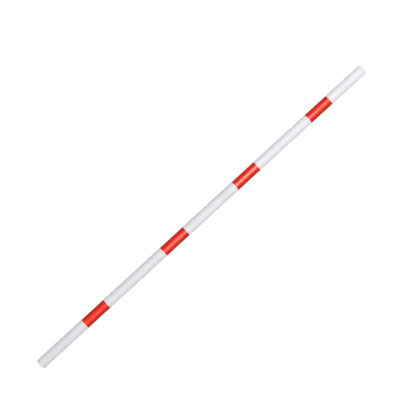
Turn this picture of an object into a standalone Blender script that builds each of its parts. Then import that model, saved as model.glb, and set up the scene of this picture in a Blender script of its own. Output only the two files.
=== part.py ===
"""Boom pole for a parking barrier gate.

A white powder-coated aluminium tube, closed by a push-in plastic plug at each
end, with four wraps of red reflective film. A split liner inside the root
keeps the gate's clamp from crushing the tube.

Metres, +Z up. The boom lies along +X. The origin is the centre of the root
plug's outer face, so the boom runs from x = 0 to x = LENGTH.
"""

import math

import bmesh
import bpy

# Boom
LENGTH = 3.005
TUBE_RADIUS = 0.036
TUBE_WALL = 0.002
TUBE_EDGE_CHAMFER = 0.0004
COAT_GAIN = 0.00001
SEGMENTS = 72
SHARP_ANGLE = math.radians(35)

# Clearance between pieces that touch on the real boom
GAP = 0.0003

# Red film bands: (start, width) along the boom. They are cut and laid by hand,
# so neither the widths nor the white stretches between them are quite even.
BANDS = ((0.410, 0.200), (1.131, 0.210), (1.796, 0.204), (2.481, 0.197))
FILM_THICKNESS = 0.0004
ADHESIVE = 0.0001
FILM_START = 60
FILM_OVERLAP = 4
FILM_CLIMB = 2

# The bare stretches that a clamp and a fork may take stop this far from the film
SEAT_MARGIN = 0.010

# End plugs
ROOT_DOME = 0.009
ROOT_RIM = 0.003
ROOT_FLAT_RADIUS = 0.010
TIP_DOME = 0.018
TIP_RIM = 0.007
DOME_STEPS = 8
GATE_MARK_RADIUS = 0.003
GATE_MARK_DEPTH = 0.0004
PLUG_CHAMFER = 0.0005
SPIGOT_LENGTH = 0.040
SPIGOT_RADIUS = 0.0322
SPIGOT_BORE = 0.0290
SPIGOT_LEAD = 0.003
CAP_WALL = 0.003
HOLLOW_SHARE = 2 / 3
HOLLOW_STEPS = 4
FIRST_RIB = 0.010
RIB_PITCH = 0.010
RIB_LENGTH = 0.004
RIB_COUNT = 3

# Split liner inside the root
LINER_LENGTH = 0.340
LINER_WALL = 0.003
LINER_SLIT_CENTRE = 54
LINER_SLIT_WIDTH = 2

# Sizes that follow from those above
BORE_RADIUS = TUBE_RADIUS - TUBE_WALL
ROOT_HEAD = ROOT_DOME + ROOT_RIM
TIP_HEAD = TIP_DOME + TIP_RIM
TUBE_START = ROOT_HEAD + GAP
TUBE_LENGTH = LENGTH - TIP_HEAD - GAP - TUBE_START
LINER_START = ROOT_HEAD + SPIGOT_LENGTH + GAP
CLAMP_END = BANDS[0][0] - SEAT_MARGIN
FORK_START = sum(BANDS[-1]) + SEAT_MARGIN


def clear_scene():
    for item in list(bpy.data.objects):
        bpy.data.objects.remove(item, do_unlink=True)


def plain_material(name, colour, roughness, metallic=0.0):
    material = bpy.data.materials.new(name)
    material.use_nodes = True
    shader = material.node_tree.nodes["Principled BSDF"]
    shader.inputs["Base Color"].default_value = (*colour, 1.0)
    shader.inputs["Roughness"].default_value = roughness
    shader.inputs["Metallic"].default_value = metallic
    return material


def white_coating():
    return plain_material("white_coating", (0.86, 0.86, 0.88), 0.42)


def red_film(number):
    return plain_material(f"red_film_{number}", (0.80, 0.05, 0.03), 0.30)


def cap_plastic(name):
    return plain_material(name, (0.74, 0.74, 0.75), 0.50)


def bare_aluminium():
    return plain_material("bare_aluminium", (0.72, 0.73, 0.74), 0.35, 1.0)


def corner(x, radius, index):
    """A point on the tube's faceted round, index 0 just past +Y and turning towards +Z.

    The half step puts flat facets exactly at the top, the bottom and the sides.
    """
    angle = math.tau * (index + 0.5) / SEGMENTS
    return (x, radius * math.cos(angle), radius * math.sin(angle))


def new_object(name, mesh, material, boom, x):
    """Makes the bmesh an object of the boom, smooth except at sharp edges, with its origin at x."""
    data = bpy.data.meshes.new(name)
    mesh.to_mesh(data)
    mesh.free()
    data.shade_smooth()
    data.set_sharp_from_angle(angle=SHARP_ANGLE)
    data.materials.append(material)
    item = bpy.data.objects.new(name, data)
    bpy.context.scene.collection.objects.link(item)
    item.parent = boom
    item.location.x = x
    return item


def turned(outline):
    """Spins a closed outline of (x, radius) points about the X axis into a solid."""
    mesh = bmesh.new()
    points = [mesh.verts.new(corner(x, radius, 0)) for x, radius in outline]
    edges = [mesh.edges.new(pair) for pair in zip(points, points[1:])]
    if outline[0][1] > 0.0:
        edges.append(mesh.edges.new((points[-1], points[0])))
    bmesh.ops.spin(
        mesh,
        geom=points + edges,
        cent=(0.0, 0.0, 0.0),
        axis=(1.0, 0.0, 0.0),
        angle=math.tau,
        steps=SEGMENTS,
        use_merge=True,
    )
    bmesh.ops.remove_doubles(mesh, verts=mesh.verts, dist=GAP / 30)
    bmesh.ops.recalc_face_normals(mesh, faces=mesh.faces)
    return mesh


def rolled(radii, first, length):
    """Rolls a thin sheet about the X axis: one radius for each corner, from corner number first."""
    mesh = bmesh.new()
    points = [mesh.verts.new(corner(0.0, radius, first + i)) for i, radius in enumerate(radii)]
    edges = [mesh.edges.new(pair) for pair in zip(points, points[1:])]
    made = bmesh.ops.extrude_edge_only(mesh, edges=edges)["geom"]
    moved = [item for item in made if isinstance(item, bmesh.types.BMVert)]
    bmesh.ops.translate(mesh, verts=moved, vec=(length, 0.0, 0.0))
    mesh.normal_update()
    inward = [face for face in mesh.faces if face.normal.yz.dot(face.calc_center_median().yz) < 0]
    bmesh.ops.reverse_faces(mesh, faces=inward)
    return mesh


def thicken(item, thickness, side):
    """Gives a rolled sheet its thickness: side 1 is outwards and side -1 is inwards."""
    shell = item.modifiers.new("thickness", "SOLIDIFY")
    shell.thickness = thickness
    shell.offset = side
    shell.use_even_offset = True


def boom_tube(boom):
    """Open tube with broken edges, its powder coat gaining a little thickness towards each end."""
    outer, ends, bore, cut = TUBE_RADIUS, TUBE_RADIUS + COAT_GAIN, BORE_RADIUS, TUBE_EDGE_CHAMFER
    outline = (
        (0.0, bore),
        (0.0, ends - cut),
        (cut, ends),
        (CLAMP_END - TUBE_START, outer),
        (FORK_START - TUBE_START, outer),
        (TUBE_LENGTH - cut, ends),
        (TUBE_LENGTH, ends - cut),
        (TUBE_LENGTH, bore),
    )
    return new_object("boom_tube", turned(outline), white_coating(), boom, TUBE_START)


def crown(dome, flat):
    """Outline of a plug's crown, half an ellipse in profile, from the flat in its middle to its rim."""
    first = math.asin(flat / TUBE_RADIUS)
    reach = dome / math.cos(first)
    outline = []
    for step in range(DOME_STEPS + 1):
        turn = first + (math.pi / 2 - first) * step / DOME_STEPS
        outline.append((dome - reach * math.cos(turn), TUBE_RADIUS * math.sin(turn)))
    return outline


def spigot(base):
    """Outline of a plug behind its crown, from the rim's chamfer to its hollow, with barbed ribs."""
    outline = [
        (base - PLUG_CHAMFER, TUBE_RADIUS),
        (base, TUBE_RADIUS - PLUG_CHAMFER),
        (base, SPIGOT_RADIUS),
    ]
    for rib in range(RIB_COUNT):
        foot = base + FIRST_RIB + rib * RIB_PITCH
        outline += [
            (foot, SPIGOT_RADIUS),
            (foot, BORE_RADIUS - GAP),
            (foot + RIB_LENGTH, SPIGOT_RADIUS),
        ]
    end = base + SPIGOT_LENGTH
    outline += [
        (end - SPIGOT_LEAD, SPIGOT_RADIUS),
        (end, SPIGOT_RADIUS - SPIGOT_LEAD / 2),
        (end, SPIGOT_BORE),
    ]
    return outline


def hollow(dome):
    """Outline of a plug's hollow, from the spigot's bore to the axis, domed like its crown."""
    outline = []
    for step in range(HOLLOW_STEPS):
        turn = math.pi / 2 * step / HOLLOW_STEPS
        depth = CAP_WALL + HOLLOW_SHARE * dome * (1 - math.sin(turn))
        outline.append((depth, SPIGOT_BORE * math.cos(turn)))
    outline.append((CAP_WALL, 0.0))
    return outline


def root_end_cap(boom):
    """Plug with a shallow crown, flat in the middle."""
    outline = [(0.0, 0.0)]
    outline += crown(ROOT_DOME, ROOT_FLAT_RADIUS)
    outline += spigot(ROOT_HEAD)
    outline += hollow(ROOT_DOME)
    return new_object("root_end_cap", turned(outline), cap_plastic("root_cap_plastic"), boom, 0.0)


def tip_end_cap(boom):
    """Plug with a full crown, the moulding gate's mark sunk in its middle."""
    outline = [(GATE_MARK_DEPTH, 0.0), (GATE_MARK_DEPTH, GATE_MARK_RADIUS - GATE_MARK_DEPTH)]
    outline += crown(TIP_DOME, GATE_MARK_RADIUS)
    outline += spigot(TIP_HEAD)
    outline += hollow(TIP_DOME)
    item = new_object("tip_end_cap", turned(outline), cap_plastic("tip_cap_plastic"), boom, LENGTH)
    item.rotation_euler.z = math.pi
    return item


def red_band(boom, number, start, width):
    """One wrap of film. Its tail climbs over its own beginning and lies on it."""
    under = TUBE_RADIUS + ADHESIVE
    rise = FILM_THICKNESS + ADHESIVE
    radii = []
    for i in range(SEGMENTS + FILM_OVERLAP + 1):
        climbed = min(max(i - SEGMENTS + FILM_CLIMB, 0) / FILM_CLIMB, 1.0)
        radii.append(under + climbed * rise)
    sheet = rolled(radii, FILM_START, width)
    item = new_object(f"red_band_{number}", sheet, red_film(number), boom, start)
    thicken(item, FILM_THICKNESS, 1)
    return item


def root_liner(boom):
    """Sleeve with a lengthwise slit, sprung into the bore behind the root plug."""
    first = LINER_SLIT_CENTRE + LINER_SLIT_WIDTH // 2
    corners = SEGMENTS - LINER_SLIT_WIDTH + 1
    sheet = rolled([BORE_RADIUS - GAP] * corners, first, LINER_LENGTH)
    item = new_object("root_liner", sheet, bare_aluminium(), boom, LINER_START)
    thicken(item, LINER_WALL, -1)
    return item


def main():
    clear_scene()
    boom = bpy.data.objects.new("boom", None)
    bpy.context.scene.collection.objects.link(boom)
    boom_tube(boom)
    root_end_cap(boom)
    tip_end_cap(boom)
    root_liner(boom)
    for number, (start, width) in enumerate(BANDS, start=1):
        red_band(boom, number, start, width)


main()
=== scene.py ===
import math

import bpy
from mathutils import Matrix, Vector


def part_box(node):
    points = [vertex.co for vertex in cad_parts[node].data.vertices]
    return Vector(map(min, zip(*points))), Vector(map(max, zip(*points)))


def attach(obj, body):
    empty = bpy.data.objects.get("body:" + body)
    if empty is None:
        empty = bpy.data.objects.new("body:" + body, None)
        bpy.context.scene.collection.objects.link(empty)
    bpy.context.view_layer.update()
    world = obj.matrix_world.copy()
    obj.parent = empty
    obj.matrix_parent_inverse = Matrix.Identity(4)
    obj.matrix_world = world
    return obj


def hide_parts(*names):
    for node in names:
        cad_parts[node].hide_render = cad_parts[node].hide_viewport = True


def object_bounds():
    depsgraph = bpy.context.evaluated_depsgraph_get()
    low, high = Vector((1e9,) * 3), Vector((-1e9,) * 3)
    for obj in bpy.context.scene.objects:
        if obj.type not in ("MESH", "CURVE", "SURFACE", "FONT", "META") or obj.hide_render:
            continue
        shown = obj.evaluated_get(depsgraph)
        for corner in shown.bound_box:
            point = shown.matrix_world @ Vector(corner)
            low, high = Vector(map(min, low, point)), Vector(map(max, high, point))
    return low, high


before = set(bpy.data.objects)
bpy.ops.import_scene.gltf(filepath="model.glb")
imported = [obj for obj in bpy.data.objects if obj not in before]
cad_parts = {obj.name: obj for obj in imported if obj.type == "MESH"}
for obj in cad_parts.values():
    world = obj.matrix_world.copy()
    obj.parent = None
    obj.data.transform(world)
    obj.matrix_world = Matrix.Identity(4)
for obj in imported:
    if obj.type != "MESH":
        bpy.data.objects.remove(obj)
cad_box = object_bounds()

# The looks of a parking barrier gate's boom: a powder-coated tube with a plug in
# each end and four wraps of red reflective film. Metres, +Z up, and the boom
# runs along +X from its root to its tip, as in the CAD model.

ROOT_3 = math.sqrt(3)

# How finely the pieces are cut. The tube's rings cut its long faces short.
AROUND = 180
TUBE_RINGS = 120
DOME_STEPS = 30
HOLLOW_STEPS = 14
CORNER_STEPS = 4
FILM_AROUND = 228
FILM_ACROSS = 40
SHARP_ANGLE = math.radians(32)

# Tube
TUBE_WALL = 0.002
TUBE_EDGE_ROUND = 0.0004

# Film: one wrap and an overlap, its edges cut by hand and lifting a little
FILM_COUNT = 4
FILM_GLUE = 0.00006
FILM_THICKNESS = 0.0004
FILM_START = math.radians(302.5)
FILM_OVERLAP = math.radians(20)
FILM_TURN = math.tau + FILM_OVERLAP
FILM_CLIMB = math.radians(4)
FILM_EDGE_LIFT = 0.00008
FILM_EDGE_LIFT_REACH = 0.002
FILM_EDGE_WANDER = 0.0004
FILM_FAR_EDGE_PHASE = 2.0
FILM_SKEW = 0.0011
FILM_CORNER_RADIUS = 0.006
FILM_EDGE_BEVEL = 0.0001
FILM_BEVEL_STEPS = 2
FILM_BEVEL_ANGLE = math.radians(50)
FILM_SHEET = "sheet"

# Plugs
ROOT_DOME = 0.009
ROOT_RIM = 0.003
ROOT_FLAT_RADIUS = 0.010
TIP_DOME = 0.018
TIP_RIM = 0.007
PLUG_ROUND = 0.0005
GATE_MARK_RADIUS = 0.003
GATE_MARK_DEPTH = 0.0004
SPIGOT_LENGTH = 0.040
SPIGOT_RADIUS = 0.0322
SPIGOT_BORE = 0.0290
SPIGOT_LEAD = 0.003
FIRST_RIB = 0.010
RIB_PITCH = 0.010
RIB_LENGTH = 0.004
RIB_COUNT = 3
RIB_CLEARANCE = 0.0003
CAP_WALL = 0.003
HOLLOW_SHARE = 2 / 3

# Most of a noise lies between these values
NOISE_SPAN = (0.3, 0.7)

# Powder coat. A noise's scale is per metre: one number, or one for each axis. A span is the
# stretch of a noise over which something comes in. A relief is its depth and its strength.
COAT_TONE = (0.66, 0.653, 0.688, 1)
COAT_PALE_TONE = (0.682, 0.675, 0.71, 1)
COAT_DULL_TONE = (0.64, 0.633, 0.667, 1)
COAT_SPECULAR = 0.4
COAT_ROUGHNESS = (0.55, 0.64)
COAT_ROUGHNESS_SPAN = (0.3, 0.75)
COAT_CLOUD_SCALE = (5.0, 22.0, 22.0)
COAT_MOTTLE_SCALE = (55.0, 95.0, 95.0)
COAT_DULL_SPAN = (0.5, 0.75)
COAT_DULL_SHARE = 0.35
COAT_SAG_SCALE = (14.0, 45.0, 45.0)
COAT_SAG_RELIEF = (0.00012, 0.5)
COAT_PEEL_SCALE = 330.0
COAT_PEEL_RELIEF = (0.0001, 0.6)
COAT_GRAIN_SCALE = 900.0
COAT_GRAIN_RELIEF = (0.00009, 0.7)
SPECK_SPAN = (0.70, 0.76)
SPECK_SHARE = 0.2
# Painted shade on the coat: where a darker patch short of the third band lies, how far it reaches, how
# ragged it is and how strongly it darkens. Its tone, a painted shade, also darkens the fine specks.
PAINTED_SHADE_PLACE = 1.70
PAINTED_SHADE_REACH = 0.06
PAINTED_SHADE_RAGGEDNESS = 0.03
PAINTED_SHADE_SPAN = (0.3, 0.6)
PAINTED_SHADE_SHARE = 0.6
SPECK_AND_PAINTED_SHADE_TONE = (0.555, 0.547, 0.572, 1)

# Film's surface, with its scales on the flat sheet. A bubble's edge is measured in bubble cells.
FILM_TONE = (0.90, 0.024, 0.001, 1)
FILM_PALE_TONE = (0.95, 0.030, 0.002, 1)
FILM_WALL_TONE = (0.62, 0.012, 0.001, 1)
FILM_RIM_TONE = (0.86, 0.42, 0.38, 1)
FILM_RIM = (0.0003, 0.0007)
FILM_RIM_SHARE = 0.5
FILM_METALLIC = 0.55
FILM_ROUGHNESS = (0.60, 0.66)
FILM_FACE_IOR = 1.52
FILM_FACE_ROUGHNESS = (0.30, 0.40)
CELL_WIDTH = 0.0038
CELL_WALL = 0.0005
CELL_WALL_SHARE = 0.35
CELL_WALL_RELIEF = (0.00002, 0.6)
FILM_CLOUD_SCALE = (9.0, 9.0, 1.0)
FILM_RIPPLE_SCALE = (45.0, 18.0, 1.0)
FILM_RIPPLE_RELIEF = (0.0003, 0.5)
FILM_GRAIN_SCALE = (420.0, 420.0, 1.0)
FILM_GRAIN_RELIEF = (0.00002, 0.4)
BUBBLE_SCALE = 22.0
BUBBLE_RARITY = 0.93
BUBBLE_EDGE = (0.02, 0.06)
BUBBLE_RELIEF = (0.00025, 0.8)

# Plugs' plastic and the liner's metal
ROOT_PLUG_TONE = (0.70, 0.70, 0.715)
TIP_PLUG_TONE = (0.64, 0.64, 0.64)
PLUG_SHADE = 0.95
PLUG_ROUGHNESS = (0.46, 0.56)
PLUG_CLOUD_SCALE = 40.0
PLUG_SINK_SCALE = 35.0
PLUG_SINK_RELIEF = (0.0004, 0.5)
PLUG_SPARK_SCALE = 1100.0
PLUG_SPARK_RELIEF = (0.00012, 0.8)
LINER_DARK_TONE = (0.62, 0.63, 0.65, 1)
LINER_PALE_TONE = (0.78, 0.79, 0.80, 1)
LINER_ROUGHNESS = (0.28, 0.42)
LINER_LINE_SCALE = (3.0, 900.0, 900.0)
LINER_LINE_RELIEF = (0.00003, 0.6)

# Camera: where its middle looks, from how far, and how it is turned
AIM_ALONG = 1.555
AIM_ACROSS = 0.0924
CAMERA_DISTANCE = 9.05
CAMERA_TILT = math.radians(3.75)
CAMERA_ROLL = math.radians(42.5)
CAMERA_LENS = 119.0
CAMERA_REACH = 200.0

# Light: a panel overhead, longer across the boom than along it and turned a little about the
# vertical, and a weak panel off each end
KEY_PLACE = (2.7, -0.4, 7.0)
KEY_SIZE = (0.8, 5.8)
KEY_TURN = math.radians(-12)
KEY_POWER = 480.0
END_LAMP_DISTANCE = 2.2
END_LAMP_HEIGHT = 0.5
END_LAMP_SIZE = (1.6, 0.5)
END_LAMP_POWER = 27.0

# Sky: dim over the lowest quarter of its height, then brighter up to overhead
SKY_AT_HORIZON = 0.12
SKY_DIM_BELOW = 0.25
SKY_OVERHEAD = 0.48
BACKDROP = 0.97

# Floor: how it glows for the camera, near the boom and far off, and its tone for each kind of ray
FLOOR_SIDE = 240.0
FLOOR_GAP = 0.0001
FLOOR_GLOW_NEAR = 0.86
FLOOR_GLOW_FAR = 0.91
FLOOR_FADE = (3.0, 16.0)
FLOOR_SEEN = 0.14
FLOOR_BOUNCE = 0.95
FLOOR_MIRRORED = 0.08
FLOOR_ROUGHNESS = 0.9

# Sizes taken from the frame, and two that follow from them
TUBE_LOW, TUBE_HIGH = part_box("boom_tube")
TUBE_RADIUS = TUBE_HIGH.z
BORE_RADIUS = TUBE_RADIUS - TUBE_WALL
BOOM_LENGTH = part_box("tip_end_cap")[1].x
FILM_LENGTH = (TUBE_RADIUS + FILM_GLUE) * FILM_TURN


# ---------------------------------------------------------------- node trees


class Nodes:
    """Short calls for building one material's node tree."""

    def __init__(self, name):
        self.material = bpy.data.materials.new(name)
        self.material.use_nodes = True
        self.tree = self.material.node_tree
        self.shader = self.tree.nodes["Principled BSDF"]
        self.place = self.new("ShaderNodeTexCoord").outputs["Object"]

    def new(self, kind, **settings):
        node = self.tree.nodes.new(kind)
        for name, value in settings.items():
            setattr(node, name, value)
        return node

    def feed(self, socket, value):
        """Links a socket to the value if that is another socket, and sets it otherwise."""
        if isinstance(value, bpy.types.NodeSocket):
            self.tree.links.new(value, socket)
        else:
            socket.default_value = value

    def set(self, **inputs):
        """Feeds the shader's inputs, written with _ for a space."""
        for name, value in inputs.items():
            self.feed(self.shader.inputs[name.replace("_", " ")], value)

    def maths(self, operation, first, second=0.0):
        node = self.new("ShaderNodeMath", operation=operation)
        self.feed(node.inputs[0], first)
        self.feed(node.inputs[1], second)
        return node.outputs[0]

    def vector(self, operation, first, second=(0.0, 0.0, 0.0)):
        node = self.new("ShaderNodeVectorMath", operation=operation)
        self.feed(node.inputs[0], first)
        self.feed(node.inputs[1], second)
        gives_number = operation in ("LENGTH", "DOT_PRODUCT")
        return node.outputs["Value" if gives_number else "Vector"]

    def part(self, vector, axis):
        """The vector's number along "X", "Y" or "Z"."""
        node = self.new("ShaderNodeSeparateXYZ")
        self.feed(node.inputs[0], vector)
        return node.outputs[axis]

    def noise(self, place, scale, detail=2.0, roughness=0.5):
        """Noise at this scale, which is one number or one for each axis."""
        if isinstance(scale, tuple):
            place = self.vector("MULTIPLY", place, scale)
            scale = 1.0
        node = self.new("ShaderNodeTexNoise")
        self.feed(node.inputs["Vector"], place)
        node.inputs["Scale"].default_value = scale
        node.inputs["Detail"].default_value = detail
        node.inputs["Roughness"].default_value = roughness
        return node.outputs["Fac"]

    def fit(self, value, span=(0.0, 1.0), onto=(0.0, 1.0), smooth=False):
        """Stretches the span of a value onto another one, and holds it at the ends."""
        kind = "SMOOTHSTEP" if smooth else "LINEAR"
        node = self.new("ShaderNodeMapRange", interpolation_type=kind)
        self.feed(node.inputs["Value"], value)
        node.inputs["From Min"].default_value = span[0]
        node.inputs["From Max"].default_value = span[1]
        node.inputs["To Min"].default_value = onto[0]
        node.inputs["To Max"].default_value = onto[1]
        return node.outputs["Result"]

    def near(self, value, centre, reach):
        """1 at the centre, falling smoothly to 0 at reach on either side."""
        away = self.maths("ABSOLUTE", self.maths("SUBTRACT", value, centre))
        return self.fit(away, (0.0, reach), onto=(1.0, 0.0), smooth=True)

    def mix(self, share, first, second, kind="RGBA"):
        """Mixes two colours by this share, or two vectors when the kind is "VECTOR"."""
        node = self.new("ShaderNodeMix", data_type=kind)
        self.feed(node.inputs["Factor"], share)
        ends = [socket for socket in node.inputs if socket.type == kind and socket.enabled][-2:]
        self.feed(ends[0], first)
        self.feed(ends[1], second)
        return next(socket for socket in node.outputs if socket.type == kind)

    def bump(self, height, relief, over=None):
        """The normal of a (depth, strength) relief, laid over another normal if there is one."""
        depth, strength = relief
        node = self.new("ShaderNodeBump")
        node.inputs["Strength"].default_value = strength
        node.inputs["Distance"].default_value = depth
        self.feed(node.inputs["Height"], height)
        if over is not None:
            self.feed(node.inputs["Normal"], over)
        return node.outputs["Normal"]

    def honeycomb(self, sheet, width):
        """Distance from the wall of a hexagonal cell, in a flat sheet of cells of this width.

        The cells' centres lie on two rectangular grids, half a step apart. Each
        place belongs to the nearer centre.
        """
        period = (1.0, ROOT_3, 1.0)
        half = (0.5, ROOT_3 / 2, 0.0)
        place = self.vector("MULTIPLY", sheet, (1 / width,) * 3)
        even = self.vector("SUBTRACT", self.vector("MODULO", place, period), half)
        moved = self.vector("ADD", place, half)
        odd = self.vector("SUBTRACT", self.vector("MODULO", moved, period), half)
        odd_is_nearer = self.maths("LESS_THAN", self.vector("LENGTH", odd), self.vector("LENGTH", even))
        centred = self.vector("ABSOLUTE", self.mix(odd_is_nearer, even, odd, kind="VECTOR"))
        across = self.vector("DOT_PRODUCT", centred, (1.0, 0.0, 0.0))
        aslant = self.vector("DOT_PRODUCT", centred, (0.5, ROOT_3 / 2, 0.0))
        inside = self.maths("SUBTRACT", 0.5, self.maths("MAXIMUM", across, aslant))
        return self.maths("MULTIPLY", inside, width)


# ----------------------------------------------------------------- materials


def powder_coat():
    """Matt white powder coat with a fine texture, faintly clouded, with a lilac cast."""
    n = Nodes("white_powder_coat")
    cloud = n.noise(n.place, COAT_CLOUD_SCALE, detail=3.0)
    mottle = n.noise(n.place, COAT_MOTTLE_SCALE, detail=3.0, roughness=0.6)
    colour = n.mix(n.fit(cloud, NOISE_SPAN), COAT_TONE, COAT_PALE_TONE)
    dull = n.fit(mottle, COAT_DULL_SPAN, onto=(0.0, COAT_DULL_SHARE))
    colour = n.mix(dull, colour, COAT_DULL_TONE)
    # Painted shade: a darker, ragged patch short of the third band, standing in for a dim reflection on
    # the tube
    stray = n.fit(mottle, onto=(-PAINTED_SHADE_RAGGEDNESS, PAINTED_SHADE_RAGGEDNESS))
    ragged = n.maths("ADD", n.part(n.place, "X"), stray)
    painted_shade = n.maths("MULTIPLY", n.near(ragged, PAINTED_SHADE_PLACE, PAINTED_SHADE_REACH), n.fit(mottle, PAINTED_SHADE_SPAN))
    colour = n.mix(n.maths("MULTIPLY", painted_shade, PAINTED_SHADE_SHARE), colour, SPECK_AND_PAINTED_SHADE_TONE)
    # Fine dark specks all over
    speck = n.noise(n.place, COAT_GRAIN_SCALE, detail=1.0)
    colour = n.mix(n.fit(speck, SPECK_SPAN, onto=(0.0, SPECK_SHARE)), colour, SPECK_AND_PAINTED_SHADE_TONE)
    # The baked powder sags a little, and has an orange peel and a grain
    sag = n.noise(n.place, COAT_SAG_SCALE, detail=1.0)
    peel = n.noise(n.place, COAT_PEEL_SCALE)
    grain = n.noise(n.place, COAT_GRAIN_SCALE)
    normal = n.bump(sag, COAT_SAG_RELIEF)
    normal = n.bump(peel, COAT_PEEL_RELIEF, over=normal)
    normal = n.bump(grain, COAT_GRAIN_RELIEF, over=normal)
    roughness = n.fit(mottle, COAT_ROUGHNESS_SPAN, onto=COAT_ROUGHNESS)
    n.set(Base_Color=colour, Roughness=roughness, Specular_IOR_Level=COAT_SPECULAR, Normal=normal)
    return n.material


def bubbles(n, sheet):
    """Height of the few small bubbles of air left under a film: one in some cells, none in most."""
    cells = n.new("ShaderNodeTexVoronoi", voronoi_dimensions="2D", feature="F1")
    n.feed(cells.inputs["Vector"], sheet)
    cells.inputs["Scale"].default_value = BUBBLE_SCALE
    chance = n.new("ShaderNodeSeparateColor")
    n.feed(chance.inputs[0], cells.outputs["Color"])
    chosen = n.maths("GREATER_THAN", chance.outputs[0], BUBBLE_RARITY)
    dome = n.fit(cells.outputs["Distance"], BUBBLE_EDGE, onto=(1.0, 0.0), smooth=True)
    return n.maths("MULTIPLY", chosen, dome)


def reflective_film(number, width):
    """Red retroreflective film: honeycomb cells under a glossy face, and a paler cut edge."""
    n = Nodes(f"red_reflective_film_{number}")
    sheet = n.new("ShaderNodeUVMap", uv_map=FILM_SHEET).outputs["UV"]
    cloud = n.noise(sheet, FILM_CLOUD_SCALE)
    colour = n.mix(n.fit(cloud, NOISE_SPAN), FILM_TONE, FILM_PALE_TONE)
    from_wall = n.honeycomb(sheet, CELL_WIDTH)
    wall = n.fit(from_wall, (CELL_WALL / 2, CELL_WALL), onto=(1.0, 0.0), smooth=True)
    colour = n.mix(n.maths("MULTIPLY", wall, CELL_WALL_SHARE), colour, FILM_WALL_TONE)
    across = n.part(sheet, "Y")
    from_edge = n.maths("MINIMUM", across, n.maths("SUBTRACT", width, across))
    colour = n.mix(n.fit(from_edge, FILM_RIM, onto=(FILM_RIM_SHARE, 0.0)), colour, FILM_RIM_TONE)
    ripple = n.noise(sheet, FILM_RIPPLE_SCALE)
    grain = n.noise(sheet, FILM_GRAIN_SCALE, detail=1.0)
    normal = n.bump(ripple, FILM_RIPPLE_RELIEF)
    normal = n.bump(bubbles(n, sheet), BUBBLE_RELIEF, over=normal)
    normal = n.bump(wall, CELL_WALL_RELIEF, over=normal)
    normal = n.bump(grain, FILM_GRAIN_RELIEF, over=normal)
    n.set(Base_Color=colour, Roughness=n.fit(cloud, NOISE_SPAN, onto=FILM_ROUGHNESS), Normal=normal)
    n.set(Metallic=FILM_METALLIC, Specular_IOR_Level=0.0, Coat_Weight=1.0, Coat_IOR=FILM_FACE_IOR)
    n.set(Coat_Roughness=n.fit(wall, onto=FILM_FACE_ROUGHNESS))
    return n.material


def plug_plastic(name, colour):
    """Moulded plastic with a fine spark-eroded texture, sunk a little here and there."""
    n = Nodes(name)
    shade = tuple(PLUG_SHADE * channel for channel in colour)
    cloud = n.noise(n.place, PLUG_CLOUD_SCALE, detail=3.0)
    tone = n.mix(n.fit(cloud, NOISE_SPAN), (*shade, 1), (*colour, 1))
    sink = n.noise(n.place, PLUG_SINK_SCALE, detail=0.0)
    spark = n.noise(n.place, PLUG_SPARK_SCALE)
    normal = n.bump(sink, PLUG_SINK_RELIEF)
    normal = n.bump(spark, PLUG_SPARK_RELIEF, over=normal)
    n.set(Base_Color=tone, Roughness=n.fit(cloud, NOISE_SPAN, onto=PLUG_ROUGHNESS), Normal=normal)
    return n.material


def drawn_aluminium():
    """Bare aluminium with fine lines along it from the die."""
    n = Nodes("drawn_aluminium")
    lines = n.noise(n.place, LINER_LINE_SCALE, detail=3.0)
    tone = n.mix(lines, LINER_DARK_TONE, LINER_PALE_TONE)
    n.set(Base_Color=tone, Metallic=1.0, Roughness=n.fit(lines, NOISE_SPAN, onto=LINER_ROUGHNESS))
    n.set(Normal=n.bump(lines, LINER_LINE_RELIEF))
    return n.material


def floor_paper():
    """A floor that looks evenly pale out to the backdrop.

    The boom gets its light back as from white paper, but the film hardly mirrors it.
    """
    n = Nodes("pale_floor")
    ray = n.new("ShaderNodeLightPath").outputs
    bounce = n.fit(ray["Is Glossy Ray"], onto=(FLOOR_BOUNCE, FLOOR_MIRRORED))
    seen = n.maths("MULTIPLY", ray["Is Camera Ray"], FLOOR_SEEN - FLOOR_BOUNCE)
    away = n.vector("LENGTH", n.place)
    glow = n.fit(away, FLOOR_FADE, onto=(FLOOR_GLOW_NEAR, FLOOR_GLOW_FAR), smooth=True)
    n.set(Base_Color=n.maths("ADD", seen, bounce), Roughness=FLOOR_ROUGHNESS, Specular_IOR_Level=0.0)
    n.set(Emission_Color=(1, 1, 1, 1), Emission_Strength=n.maths("MULTIPLY", ray["Is Camera Ray"], glow))
    n.material.cycles.emission_sampling = "NONE"
    return n.material


# ------------------------------------------------------------------- meshes


def finish_piece(name, points, faces, material, node):
    """Makes a piece of the boom that stands for a CAD node."""
    mesh = bpy.data.meshes.new(name)
    mesh.from_pydata(points, [], faces)
    mesh.validate()
    mesh.shade_smooth()
    mesh.set_sharp_from_angle(angle=SHARP_ANGLE)
    mesh.materials.append(material)
    piece = bpy.data.objects.new(name, mesh)
    bpy.context.scene.collection.objects.link(piece)
    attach(piece, "root")
    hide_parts(node)
    return piece


def around(x, radius, angle):
    """A point at this angle around the boom, turning from +Y towards +Z."""
    return (x, radius * math.cos(angle), radius * math.sin(angle))


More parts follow.
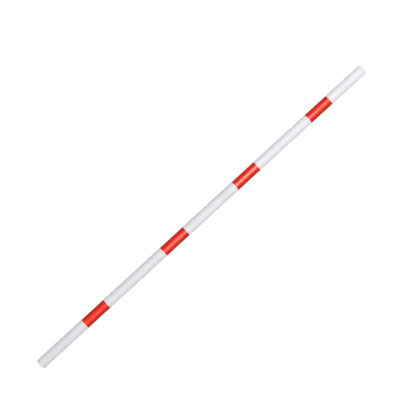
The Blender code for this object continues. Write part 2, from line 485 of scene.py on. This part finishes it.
def lathe(outline):
    """(points, faces) of an outline of (x, radius) turned about the boom's axis.

    An outline that starts and ends on the axis is capped there with fans. Any
    other one is closed from its last point back to its first.
    """
    points, faces, rings = [], [], []
    for x, radius in outline:
        if radius == 0.0:
            rings.append([len(points)] * AROUND)
            points.append((x, 0.0, 0.0))
            continue
        rings.append(list(range(len(points), len(points) + AROUND)))
        points += [around(x, radius, math.tau * i / AROUND) for i in range(AROUND)]
    pairs = list(zip(rings, rings[1:]))
    if outline[0][1] > 0.0:
        pairs.append((rings[-1], rings[0]))
    for ring, after in pairs:
        for i in range(AROUND):
            j = (i + 1) % AROUND
            # On the axis two of the corners are one point, which a dict holds once
            corners = dict.fromkeys((ring[i], ring[j], after[j], after[i]))
            faces.append(tuple(corners))
    return points, faces


def arc(centre, radius, start, end, steps):
    """Points of an arc in the (x, radius) plane, both ends included."""
    turns = [start + (end - start) * step / steps for step in range(steps + 1)]
    return [(centre[0] + radius * math.cos(a), centre[1] + radius * math.sin(a)) for a in turns]


def mirrored(outline, length):
    """The outline seen from the boom's other end, turning the same way round."""
    return [(length - x, radius) for x, radius in outline][::-1]


def build_tube(material):
    start, end, edge = TUBE_LOW.x, TUBE_HIGH.x, TUBE_EDGE_ROUND
    first = arc((start + edge, TUBE_RADIUS - edge), edge, math.pi, math.pi / 2, CORNER_STEPS)
    last = arc((end - edge, TUBE_RADIUS - edge), edge, math.pi / 2, 0.0, CORNER_STEPS)
    span = end - start - 2 * edge
    middle = [(start + edge + span * i / TUBE_RINGS, TUBE_RADIUS) for i in range(1, TUBE_RINGS)]
    bore = [(end, BORE_RADIUS), (start, BORE_RADIUS)]
    points, faces = lathe(first + middle + last + bore)
    finish_piece("boom_tube_coated", points, faces, material, "boom_tube")


def crown(dome, flat):
    """Outline of a plug's crown, half an ellipse in profile, from the flat in its middle to its rim."""
    first = math.asin(flat / TUBE_RADIUS)
    reach = dome / math.cos(first)
    outline = []
    for step in range(DOME_STEPS + 1):
        turn = first + (math.pi / 2 - first) * step / DOME_STEPS
        outline.append((dome - reach * math.cos(turn), TUBE_RADIUS * math.sin(turn)))
    return outline


def spigot(base):
    """Outline of a plug behind its crown, with barbed ribs, up to the edge of its hollow."""
    corner = (base - PLUG_ROUND, TUBE_RADIUS - PLUG_ROUND)
    outline = arc(corner, PLUG_ROUND, math.pi / 2, 0.0, CORNER_STEPS)
    outline.append((base, SPIGOT_RADIUS))
    for rib in range(RIB_COUNT):
        foot = base + FIRST_RIB + rib * RIB_PITCH
        outline.append((foot, SPIGOT_RADIUS))
        outline.append((foot, BORE_RADIUS - RIB_CLEARANCE))
        outline.append((foot + RIB_LENGTH, SPIGOT_RADIUS))
    end = base + SPIGOT_LENGTH
    outline.append((end - SPIGOT_LEAD, SPIGOT_RADIUS))
    outline.append((end, SPIGOT_RADIUS - SPIGOT_LEAD / 2))
    outline.append((end, SPIGOT_BORE))
    return outline


def hollow(dome):
    """Outline of a plug's hollow, from the spigot's bore to the axis, domed like its crown."""
    outline = []
    for step in range(HOLLOW_STEPS):
        turn = math.pi / 2 * step / HOLLOW_STEPS
        depth = CAP_WALL + HOLLOW_SHARE * dome * (1 - math.sin(turn))
        outline.append((depth, SPIGOT_BORE * math.cos(turn)))
    outline.append((CAP_WALL, 0.0))
    return outline


def build_root_plug(material):
    """Plug with a shallow crown, flat in the middle."""
    outline = [(0.0, 0.0)]
    outline += crown(ROOT_DOME, ROOT_FLAT_RADIUS)
    outline += spigot(ROOT_DOME + ROOT_RIM)
    outline += hollow(ROOT_DOME)
    points, faces = lathe(outline)
    finish_piece("root_plug", points, faces, material, "root_end_cap")


def build_tip_plug(material):
    """Plug with a full crown, the moulding gate's mark sunk in its middle."""
    outline = [(GATE_MARK_DEPTH, 0.0), (GATE_MARK_DEPTH, GATE_MARK_RADIUS - GATE_MARK_DEPTH)]
    outline += crown(TIP_DOME, GATE_MARK_RADIUS)
    outline += spigot(TIP_DOME + TIP_RIM)
    outline += hollow(TIP_DOME)
    points, faces = lathe(mirrored(outline, BOOM_LENGTH))
    finish_piece("tip_plug", points, faces, material, "tip_end_cap")


def film_radius(swept):
    """Radius of a film's inner face. Its tail climbs over its own beginning and lies on it."""
    climb = min(max((swept - math.tau + FILM_CLIMB) / FILM_CLIMB, 0.0), 1.0)
    climb = climb * climb * (3 - 2 * climb)
    return TUBE_RADIUS + FILM_GLUE + climb * (FILM_THICKNESS + FILM_GLUE)


def film_inset(from_end):
    """How far the rounded corners bring a film's edges in, at this distance from its end."""
    corner = max(FILM_CORNER_RADIUS - from_end, 0.0)
    return FILM_CORNER_RADIUS - math.sqrt(FILM_CORNER_RADIUS**2 - corner**2)


def film_wander(number, swept, phase=0.0):
    """How far a film's hand-cut edge strays along the boom."""
    slow = math.sin(2 * swept + number + phase)
    fast = 0.5 * math.sin(5 * swept + 2 * number)
    return FILM_EDGE_WANDER * (slow + fast)


def film_row(number, low, high, share):
    """(points, places on the flat sheet) across a film, at this share of its wrap."""
    swept = FILM_TURN * share
    from_end = min(share, 1 - share) * FILM_LENGTH
    inset = film_inset(from_end)
    skew = FILM_SKEW * (share - 0.5)
    radius = film_radius(swept)
    near_edge = low + inset + skew + film_wander(number, swept)
    far_edge = high - inset + skew + film_wander(number, swept, FILM_FAR_EDGE_PHASE)
    points, places = [], []
    for j in range(FILM_ACROSS + 1):
        # The columns lie closer together towards both edges
        across = 0.5 - 0.5 * math.cos(math.pi * (j / FILM_ACROSS))
        x = near_edge + (far_edge - near_edge) * across
        from_edge = min(x - near_edge, far_edge - x, from_end)
        lift = FILM_EDGE_LIFT * math.exp(-from_edge / FILM_EDGE_LIFT_REACH)
        points.append(around(x, radius + lift, FILM_START + swept))
        places.append((FILM_LENGTH * share, x - low))
    return points, places


def thicken_film(piece):
    """Gives a film its thickness, outwards, and takes the edge off where it is cut."""
    shell = piece.modifiers.new("thickness", "SOLIDIFY")
    shell.thickness = FILM_THICKNESS
    shell.offset = 1
    shell.use_even_offset = True
    round_off = piece.modifiers.new("edge", "BEVEL")
    round_off.width = FILM_EDGE_BEVEL
    round_off.segments = FILM_BEVEL_STEPS
    round_off.limit_method = "ANGLE"
    round_off.angle_limit = FILM_BEVEL_ANGLE


def build_film(number):
    """One wrap of film, its edges cut by hand and its tail lying over its beginning."""
    node = f"red_band_{number}"
    low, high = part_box(node)
    points, places = [], []
    for i in range(FILM_AROUND + 1):
        row_points, row_places = film_row(number, low.x, high.x, i / FILM_AROUND)
        points += row_points
        places += row_places
    row = FILM_ACROSS + 1
    faces = []
    for i in range(FILM_AROUND):
        for j in range(FILM_ACROSS):
            corner = i * row + j
            faces.append((corner, corner + row, corner + row + 1, corner + 1))
    material = reflective_film(number, high.x - low.x)
    piece = finish_piece(f"red_film_{number}", points, faces, material, node)
    sheet = piece.data.uv_layers.new(name=FILM_SHEET)
    for loop in piece.data.loops:
        sheet.data[loop.index].uv = places[loop.vertex_index]
    thicken_film(piece)


# -------------------------------------------------------------------- stage


def build_floor():
    half = FLOOR_SIDE / 2
    corners = [(-half, -half, 0), (half, -half, 0), (half, half, 0), (-half, half, 0)]
    mesh = bpy.data.meshes.new("floor")
    mesh.from_pydata(corners, [], [(0, 1, 2, 3)])
    mesh.materials.append(floor_paper())
    floor = bpy.data.objects.new("floor", mesh)
    floor.location = (BOOM_LENGTH / 2, 0.0, cad_box[0].z - FLOOR_GAP)
    bpy.context.scene.collection.objects.link(floor)


def build_sky():
    """Overhead fill that darkens towards the horizon. The camera sees a pale backdrop instead."""
    world = bpy.data.worlds.new("soft_sky")
    world.use_nodes = True
    tree = world.node_tree
    place = tree.nodes.new("ShaderNodeTexCoord").outputs["Generated"]
    split = tree.nodes.new("ShaderNodeSeparateXYZ")
    tree.links.new(place, split.inputs[0])
    rise = tree.nodes.new("ShaderNodeMapRange")
    rise.interpolation_type = "SMOOTHSTEP"
    tree.links.new(split.outputs["Z"], rise.inputs["Value"])
    rise.inputs["From Min"].default_value = SKY_DIM_BELOW
    rise.inputs["To Min"].default_value = SKY_AT_HORIZON
    rise.inputs["To Max"].default_value = SKY_OVERHEAD
    ray = tree.nodes.new("ShaderNodeLightPath").outputs
    seen = tree.nodes.new("ShaderNodeMix")
    tree.links.new(ray["Is Camera Ray"], seen.inputs["Factor"])
    tree.links.new(rise.outputs["Result"], seen.inputs["A"])
    seen.inputs["B"].default_value = BACKDROP
    sky = tree.nodes["Background"]
    sky.inputs["Color"].default_value = (1, 1, 1, 1)
    tree.links.new(seen.outputs["Result"], sky.inputs["Strength"])
    bpy.context.scene.world = world


def build_lamp(name, place, size, power, target):
    """A soft panel facing a point. The boom is lit by it, but the camera doesn't see it."""
    lamp = bpy.data.lights.new(name, "AREA")
    lamp.shape = "RECTANGLE"
    lamp.size, lamp.size_y = size
    lamp.energy = power
    panel = bpy.data.objects.new(name, lamp)
    panel.location = place
    panel.rotation_euler = (Vector(target) - panel.location).to_track_quat("-Z", "Y").to_euler()
    panel.visible_camera = False
    bpy.context.scene.collection.objects.link(panel)
    return panel


def build_lamps():
    key = build_lamp("key_panel", KEY_PLACE, KEY_SIZE, KEY_POWER, (KEY_PLACE[0], KEY_PLACE[1], 0.0))
    key.rotation_euler.z += KEY_TURN
    for name, end, way in (("root_panel", 0.0, -1), ("tip_panel", BOOM_LENGTH, 1)):
        place = (end + way * END_LAMP_DISTANCE, 0.0, END_LAMP_HEIGHT)
        panel = build_lamp(name, place, END_LAMP_SIZE, END_LAMP_POWER, (end, 0.0, 0.0))
        # Not mirrored, so they leave no hard white patches on the plugs
        panel.visible_glossy = False


def build_camera():
    """Looks down on the boom, from a little nearer its root, rolled so that it lies aslant."""
    data = bpy.data.cameras.new("camera")
    data.lens = CAMERA_LENS
    data.clip_end = CAMERA_REACH
    camera = bpy.data.objects.new("camera", data)
    back = Vector((-math.sin(CAMERA_TILT), 0.0, math.cos(CAMERA_TILT)))
    level = Vector((math.cos(CAMERA_TILT), 0.0, math.sin(CAMERA_TILT)))
    aside = back.cross(level)
    right = level * math.cos(CAMERA_ROLL) - aside * math.sin(CAMERA_ROLL)
    up = level * math.sin(CAMERA_ROLL) + aside * math.cos(CAMERA_ROLL)
    turn = Matrix((right, up, back)).transposed().to_4x4()
    place = Vector((AIM_ALONG, AIM_ACROSS, 0.0)) + CAMERA_DISTANCE * back
    camera.matrix_world = Matrix.Translation(place) @ turn
    bpy.context.scene.collection.objects.link(camera)
    bpy.context.scene.camera = camera


def main():
    bpy.context.scene.view_settings.view_transform = "Standard"
    build_tube(powder_coat())
    build_root_plug(plug_plastic("root_plug_plastic", ROOT_PLUG_TONE))
    build_tip_plug(plug_plastic("tip_plug_plastic", TIP_PLUG_TONE))
    for number in range(1, FILM_COUNT + 1):
        build_film(number)
    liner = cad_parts["root_liner"]
    liner.data.materials.clear()
    liner.data.materials.append(drawn_aluminium())
    build_floor()
    build_sky()
    build_lamps()
    build_camera()


main()
